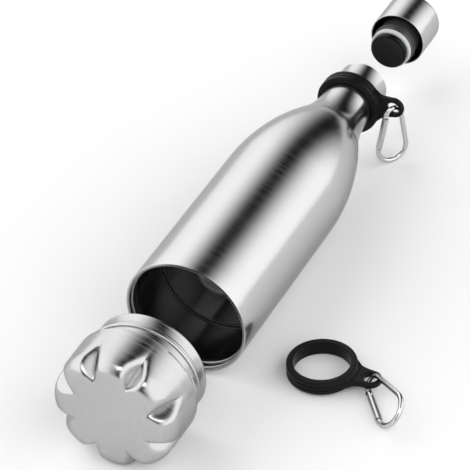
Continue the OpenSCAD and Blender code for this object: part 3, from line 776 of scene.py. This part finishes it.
stopper_seal = turned("stopper_seal", softened([
    (STEM_R + 0.05, NOSE_BACK + 0.05, 0.2), (SEAL_R, NOSE_BACK + 0.05, 0.7),
    (SEAL_R - 0.35, (NOSE_BACK + SEAL_BACK) / 2, 0.5), (SEAL_R, SEAL_BACK - 0.05, 0.7),
    (STEM_R + 0.05, SEAL_BACK - 0.05, 0.2)]), silicone, at_height(CAP_AT))
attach(stopper_seal, "cap_seal")
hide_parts("stopper_gasket")

cap_foam = turned("drinking_cap_foam", softened([
    (0, FOAM_LOW, 0), (FOAM_R, FOAM_LOW, 0.6), (FOAM_R, FOAM_TOP, 0.6), (0, FOAM_TOP, 0)]),
    foam, at_height(CAP_AT))
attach(cap_foam, "cap_foam")
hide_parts("top_cap_insulation")

# Carrying rings
# Moulded black rubber with ribs round it and a lug that grows out of its side.
# One ring grips the neck, and the spare one lies beside the flask.

RING_AT = 216.0
RING_IN_R = 15.48
RING_OUT_R = 19.18
RING_H = 8.0
RIB_DEPTH = 0.7

# The lug: an eye at its end, edges that swell a little on the way there and spread at
# the ring, a flared hole, and a fillet up to the ring's wall.
LUG_REACH = 28.0
LUG_HOLE_R = 3.7
LUG_END_R = 6.3
LUG_T = 3.5
LUG_TILT = 10.0
LUG_FLARE = 0.9
LUG_ROOT_R = 13.2
LUG_SWELL = 0.35
LUG_SPREAD = 6.6
LUG_SPREAD_POWER = 3.2
LUG_EDGE_R = 1.25
LUG_FILLET = 1.7
LUG_SUNK = 1.2
LUG_RIM_LEAST = 2.0

SPARE_X = 67.3
SPARE_Y = 27.5
FLOOR = -35.0

black_rubber = surface("black_rubber", (0.006, 0.006, 0.0064), rough=0.3, rough_spread=0.06,
                       grain=(1500, 1500, 1500), grain_depth=0.03, colour_spread=0.2,
                       Specular_IOR_Level=0.12)


def lug_outline(steps=24):
    """The lug's edge in its own plane: spread where it leaves the ring, round at its end."""
    edge = []
    for k in range(steps + 1):
        t = k / steps
        half = LUG_END_R + LUG_SWELL * math.sin(math.pi * t) + LUG_SPREAD * (1 - t) ** LUG_SPREAD_POWER
        edge.append((LUG_ROOT_R + (LUG_REACH - LUG_ROOT_R) * t, half))
    end = [(LUG_REACH + LUG_END_R * math.sin(a), LUG_END_R * math.cos(a))
           for a in map(math.radians, range(8, 173, 6))]
    return edge + end + [(x, -y) for x, y in reversed(edge)]


def lug_spoke(outline, angle, step=0.05):
    """How far the lug's edge lies from the middle of its hole. It stops inside the ring's wall."""
    dx, dy = math.cos(angle), math.sin(angle)
    best = 0
    for (x0, y0), (x1, y1) in zip(outline, outline[1:] + outline[:1]):
        px, py, ex, ey = x0 - LUG_REACH, y0, x1 - x0, y1 - y0
        det = ex * dy - dx * ey
        if abs(det) < TINY:
            continue
        reach = (ex * py - px * ey) / det
        share = (dx * py - dy * px) / det
        if reach > 0 and -TINY <= share <= 1 + TINY:
            best = max(best, reach)
    while (math.hypot(LUG_REACH + best * dx, best * dy) < RING_IN_R + LUG_SUNK
           and best > LUG_HOLE_R + LUG_RIM_LEAST):
        best -= step
    return best


def lug_mesh(spokes=120, curve=6, web=14):
    """Points and faces of the lug, in rings round its hole, from its flared lip to its round edge."""
    outline = lug_outline()
    far = [lug_spoke(outline, 2 * math.pi * s / spokes) for s in range(spokes)]
    quarter = [math.radians(90 * q / curve) for q in range(curve + 1)]
    rows = ([("lip", math.cos(t), 1 - math.sin(t)) for t in quarter]
            + [("web", q / web, 0) for q in range(1, web)]
            + [("edge", math.sin(t), 1 - math.cos(t)) for t in quarter])
    lip = LUG_HOLE_R + LUG_FLARE
    verts = []
    for side in (1, -1):
        for kind, across, down in rows:
            for s in range(spokes):
                t = 2 * math.pi * s / spokes
                outer = far[s] - LUG_EDGE_R
                if kind == "lip":
                    dist = lip - LUG_FLARE * across
                elif kind == "web":
                    dist = lip + (outer - lip) * across
                else:
                    dist = outer + LUG_EDGE_R * across
                x, y = LUG_REACH + dist * math.cos(t), dist * math.sin(t)
                half = LUG_T / 2 - down * {"lip": LUG_FLARE, "web": 0, "edge": LUG_EDGE_R}[kind]
                near = max(0.0, math.hypot(x, y) - RING_OUT_R)
                if near < LUG_FILLET:
                    half += LUG_FILLET - math.sqrt(LUG_FILLET ** 2 - (LUG_FILLET - near) ** 2)
                verts.append((x, y, side * half))
    count, per = len(rows), len(rows) * spokes
    faces = grid_faces(count - 1, spokes, 0, True) + grid_faces(count - 1, spokes, per, True)
    for j in (0, (count - 1) * spokes):
        for s in range(spokes):
            n = (s + 1) % spokes
            faces.append([j + s, j + n, j + per + n, j + per + s])
    return verts, faces


def ring_piece(name, place):
    """A carrying ring: a turned band with three ribs, and its lug."""
    out, ribs, half_h = RING_OUT_R, RING_OUT_R - RIB_DEPTH, RING_H / 2
    upper = [(out, 0.65, 0.35), (ribs, 1.0, 0.3), (ribs, 1.4, 0.3), (out, 1.75, 0.35),
             (out, half_h - 0.9, 0.6), (out - 0.5, half_h, 0.9), (RING_IN_R, half_h, 0.4)]
    lower = [(r, -z, edge) for r, z, edge in reversed(upper)]
    ring = turned(name, softened(lower + upper), black_rubber, place, sharp_from=60)
    verts, faces = lug_mesh()
    lug = mesh_piece(name + "_lug", verts, faces, black_rubber, place, sharp_from=60)
    add_faces(ring.data, lug.data)
    bpy.data.objects.remove(lug)
    return ring


def turn_about(axis, degrees):
    """A turn about an axis, in degrees."""
    return Matrix.Rotation(math.radians(degrees), 4, axis)


def shift(x, y, z):
    """A shift in millimetres."""
    return Matrix.Translation((x * MM, y * MM, z * MM))


neck_ring = ring_piece("carrying_ring", at_height(RING_AT) @ turn_about("Z", -LUG_TILT))
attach(neck_ring, "neck_ring")
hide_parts("neck_ring")

# The spare ring's lug is lifted a little by the carabiner under it, so that the
# carabiner's sizes are needed here. Its lengths run down from the middle of the lug's hole.
WIRE_R = 1.4
WIRE_SAG = 0.2
SMALL_BEND = 4.8
BIG_BEND = 9.1
CARABINER_LEN = 40.0
HINGE_DROP = 3.2
GATE_R = 1.85
CARABINER_YAW = 38.0
FLOOR_GAP = 0.3
SPARE_SWING = -46.0

small_y = -WIRE_SAG - SMALL_BEND
big_y = 2 * WIRE_R - WIRE_SAG - CARABINER_LEN + BIG_BEND
side_angle = math.asin((BIG_BEND - SMALL_BEND) / (small_y - big_y))
side_len = (small_y - big_y) * math.cos(side_angle)
hinge_x = SMALL_BEND * math.cos(side_angle) + HINGE_DROP * math.sin(side_angle)
spare_lift = hinge_x * math.cos(math.radians(CARABINER_YAW)) + GATE_R + FLOOR_GAP - RING_H / 2
spare_tilt = math.degrees(math.asin(spare_lift / (LUG_REACH + RING_OUT_R)))
beside = (shift(SPARE_X - RING_OUT_R, SPARE_Y, FLOOR) @ turn_about("Y", -spare_tilt)
          @ shift(RING_OUT_R, 0, RING_H / 2))
spare_ring = ring_piece("spare_carrying_ring", beside)
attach(spare_ring, "spare_ring")
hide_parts("spare_ring")

# Carabiners
# Each is bent from round polished wire. A tube gate turns on a rivet through the
# wire's flattened end, and a coil spring in the tube pushes it shut.

WIRE_TINT = (0.25, 0.25, 0.26, 1)
WIRE_FACETS = 28
TAB_HALF_W = 1.63
TAB_HALF_T = 0.6
TAB_EDGE = 0.15
TIP_REACH = 1.0
COIL_TURNS = 7
COIL_WIRE_R = 0.18
COIL_FACETS = 8
COIL_R = 1.04
COIL_TOP = 4.9
COIL_FOOT = 4.1

polished_wire = surface("polished_wire", (0.6, 0.6, 0.61), metallic=1, rough=0.12, rough_spread=0.04,
                        grain=(500, 500, 500), grain_depth=0.001, colour_spread=0.04,
                        Specular_Tint=WIRE_TINT)
gate_metal = surface("gate_tube", (0.56, 0.56, 0.57), metallic=1, rough=0.18, rough_spread=0.05,
                     grain=(500, 500, 500), grain_depth=0.002, Specular_Tint=WIRE_TINT)
spring_steel = surface("spring_steel", (0.5, 0.5, 0.5), metallic=1, rough=0.3, rough_spread=0.06,
                       grain=(900, 900, 900), grain_depth=0.004)

# A wire: a round section swept along the centreline that it is given.
wire_tree, given = tree_with("bent_wire", [
    ("Wire radius", "NodeSocketFloat", 0.001), ("Facets", "NodeSocketInt", WIRE_FACETS),
    ("Finish", "NodeSocketMaterial", None)])
section = add_node(wire_tree, "GeometryNodeCurvePrimitiveCircle")
swept = add_node(wire_tree, "GeometryNodeCurveToMesh", Fill_Caps=True)
rounded = add_node(wire_tree, "GeometryNodeSetShadeSmooth")
wire_row(wire_tree,
         (given, "Geometry"), (swept, "Curve"), (given, "Wire radius"), (section, "Radius"),
         (given, "Facets"), (section, "Resolution"), (section, "Curve"), (swept, "Profile Curve"),
         (swept, "Mesh"), (rounded, "Geometry"))
end_tree(wire_tree, given, rounded)


def swept_wire(name, points, radius, facets, finish):
    """A wire through points in millimetres, grown by the wire tree."""
    line = bpy.data.curves.new(name + "_line", "CURVE")
    line.dimensions = "3D"
    spline = line.splines.new("POLY")
    spline.points.add(len(points) - 1)
    for spot, (x, y, z) in zip(spline.points, points):
        spot.co = (x * MM, y * MM, z * MM, 1)
    mesh = grown(name, line, wire_tree, {"Wire radius": radius * MM, "Facets": facets, "Finish": finish})
    bpy.data.curves.remove(line)
    return mesh


def bend(radius, middle_y, start, sweep, steps):
    """Points round one bend of the carabiner, with angles in radians."""
    return [(radius * math.cos(start + sweep * i / steps),
             middle_y + radius * math.sin(start + sweep * i / steps), 0) for i in range(steps + 1)]


def frame_line():
    """Centreline of the carabiner, flat, from the gate's hinge over the top to its nose."""
    a = side_angle
    return (bend(SMALL_BEND, small_y, math.pi - a, 2 * a - math.pi, 40)
            + bend(BIG_BEND, big_y, a, -math.pi - 2 * a, 60))


def tab_mesh(reach, steps=24):
    """A flattened wire end: a slab with round edges that runs from its narrow root in the
    wire, above y = 0, down to -reach and its round end."""
    outline = []
    for i in range(steps + 1):
        t = math.pi + math.pi * i / steps
        outline.append((TAB_HALF_W * math.cos(t), -reach + TAB_HALF_W * math.sin(t)))
    outline += [(share * TAB_HALF_W, y) for share, y in ((1, 0.9), (0.6, 1.6), (-0.6, 1.6), (-1, 0.9))]
    narrow = 1 - TAB_EDGE / TAB_HALF_W
    flank = TAB_HALF_T - TAB_EDGE
    layers = ((TAB_HALF_T, narrow), (flank, 1), (-flank, 1), (-TAB_HALF_T, narrow))
    verts = [(x * k, y, z) for z, k in layers for x, y in outline]
    count = len(outline)
    faces = grid_faces(3, count, closed=True)
    faces += [list(range(count)), list(range(3 * count, 4 * count))]
    return verts, faces


def gate_line(down):
    """Place of something on the carabiner's open side, measured down from the narrow bend."""
    return (shift(-SMALL_BEND * math.cos(side_angle), small_y + SMALL_BEND * math.sin(side_angle), 0)
            @ turn_about("Z", -math.degrees(side_angle)) @ shift(0, -down, 0))


def carabiner_piece(name, place):
    """The bent wire with its two flattened ends, one at the hinge and one at the nose."""
    mesh = swept_wire(name, frame_line(), WIRE_R, WIRE_FACETS, polished_wire)
    mesh.transform(place)
    hinge, tip = gate_line(0), gate_line(side_len) @ turn_about("Z", 180)
    for matrix, reach in ((hinge, HINGE_DROP), (tip, TIP_REACH)):
        verts, faces = tab_mesh(reach)
        tab = mesh_piece(name + "_tab", verts, faces, polished_wire, place @ matrix)
        add_faces(mesh, tab.data)
        bpy.data.objects.remove(tab)
    face_outwards(mesh)
    shade_round(mesh, 40)
    return put_in_scene(name, mesh)


def spring_piece(name, place, steps=16):
    """The gate's coil spring, between the plunger and the tube's closed end."""
    run = side_len - HINGE_DROP - COIL_FOOT - COIL_TOP - 2 * COIL_WIRE_R
    count = COIL_TURNS * steps
    points = []
    for i in range(count + 1):
        a = 2 * math.pi * i / steps
        down = COIL_TOP + COIL_WIRE_R + run * i / count
        points.append((COIL_R * math.cos(a), -down, COIL_R * math.sin(a)))
    mesh = swept_wire(name, points, COIL_WIRE_R, COIL_FACETS, spring_steel)
    mesh.transform(place @ gate_line(HINGE_DROP))
    return put_in_scene(name, mesh)


# One carabiner hangs from the lug on the neck. The other leans in the spare ring's lug,
# with its wide end on the floor.
lug_up = math.radians(LUG_TILT)
hung = (shift(LUG_REACH * math.cos(lug_up), RING_AT, LUG_REACH * math.sin(lug_up))
        @ turn_about("Z", -CARABINER_YAW) @ turn_about("Z", 90) @ turn_about("X", 90))
wide_low = BIG_BEND * math.cos(math.radians(CARABINER_YAW)) + GATE_R + FLOOR_GAP
spare_slope = (math.degrees(math.asin((wide_low - RING_H / 2 - spare_lift) / -big_y))
               - spare_tilt * math.cos(math.radians(SPARE_SWING)))
lying = (beside @ shift(LUG_REACH, 0, 0) @ turn_about("Z", SPARE_SWING) @ turn_about("Y", -spare_slope)
         @ turn_about("X", -CARABINER_YAW) @ turn_about("X", 90) @ turn_about("Z", 90))

for stem, place, body, gate_body in (("", hung, "carabiner", "gate"),
                                     ("spare_", lying, "spare_carabiner", "spare_gate")):
    loop = carabiner_piece(stem + "carabiner_wire", place)
    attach(loop, body)
    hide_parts(stem + "carabiner_frame")
    coil = spring_piece(stem + "gate_coil", place)
    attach(coil, gate_body)
    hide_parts(stem + "gate_spring")
    dress(stem + "carabiner_gate", gate_metal)
    dress(stem + "gate_rivet", polished_wire)
    dress(stem + "gate_plunger", spring_steel)

# Camera, floor and light
# The flask lies on a plain pale floor, seen from above its base. The sky is bright on
# both of its sides and dark over it, and one soft lamp stands in front.

CAMERA_AT = (0.51582, -1.02544, 0.96230)
LOOK_AZIMUTH = 25.4
LOOK_ELEVATION = 38.3
SENSOR = 36.0
FOCAL_PIXELS = 2844.0
PICTURE_PIXELS = 470
FLOOR_REACH = 6.0
FLOOR_DROP = 0.1
LAMP_AT = (0.3, -1.6, 2.2)
LAMP_AIM = (0, 0.05, 0)

# The sky's brightness goes by how far a direction leans to the side.
DARK_MIDDLE = 0.04
DARK_HALF = 0.06
BRIGHT_FROM = 0.62
BRIGHT = 1.75

view = bpy.data.cameras.new("camera")
view.sensor_width = SENSOR
view.lens = FOCAL_PIXELS / PICTURE_PIXELS * SENSOR
eye = put_in_scene("camera", view)
eye.location = CAMERA_AT
eye.rotation_euler = (math.radians(90 - LOOK_ELEVATION), 0, math.radians(LOOK_AZIMUTH))
bpy.context.scene.camera = eye
bpy.context.scene.view_settings.view_transform = "Standard"

floor_finish = surface("pale_floor", (0.93, 0.93, 0.93), rough=0.8, rough_spread=0.05,
                       grain=(30, 30, 30), grain_depth=0.01, colour_spread=0.005,
                       Specular_IOR_Level=0.0)
floor_mesh = bpy.data.meshes.new("floor")
floor_mesh.from_pydata([(x * FLOOR_REACH, y * FLOOR_REACH, (FLOOR - FLOOR_DROP) * MM)
                        for x, y in ((-1, -1), (1, -1), (1, 1), (-1, 1))], [], [(0, 1, 2, 3)])
floor_mesh.materials.append(floor_finish)
floor = put_in_scene("floor", floor_mesh)

# The camera sees the sky plain white, and the pieces reflect its bright and dark bands.
sky = bpy.data.worlds.new("studio")
bpy.context.scene.world = sky
sky.use_nodes = True
tree = sky.node_tree
glow = tree.nodes["Background"]
glow.inputs["Color"].default_value = (1, 1, 1, 1)
way = add_node(tree, "ShaderNodeTexCoord")
parts = add_node(tree, "ShaderNodeSeparateXYZ")
off_middle = add_node(tree, "ShaderNodeMath", operation="SUBTRACT")
off_middle.inputs[1].default_value = DARK_MIDDLE
apart = add_node(tree, "ShaderNodeMath", operation="ABSOLUTE")
band = add_node(tree, "ShaderNodeMapRange", interpolation_type="SMOOTHSTEP",
                From_Min=DARK_HALF, From_Max=BRIGHT_FROM, To_Min=0.0, To_Max=BRIGHT)
seen = add_node(tree, "ShaderNodeLightPath")
chosen = add_node(tree, "ShaderNodeMix", data_type="FLOAT")
chosen.inputs[3].default_value = 1.0
wire_row(tree, (way, "Generated"), (parts, "Vector"), (parts, "X"), (off_middle, 0),
         (off_middle, 0), (apart, 0), (apart, 0), (band, "Value"), (band, "Result"), (chosen, 2),
         (seen, "Is Camera Ray"), (chosen, 0), (chosen, 0), (glow, "Strength"))

lamp = bpy.data.lights.new("front_light", "AREA")
lamp.shape = "RECTANGLE"
lamp.size = 1.4
lamp.size_y = 1.0
lamp.energy = 12
front_light = put_in_scene("front_light", lamp)
front_light.location = LAMP_AT
front_light.rotation_euler = (Vector(LAMP_AIM) - Vector(LAMP_AT)).to_track_quat("-Z", "Y").to_euler()
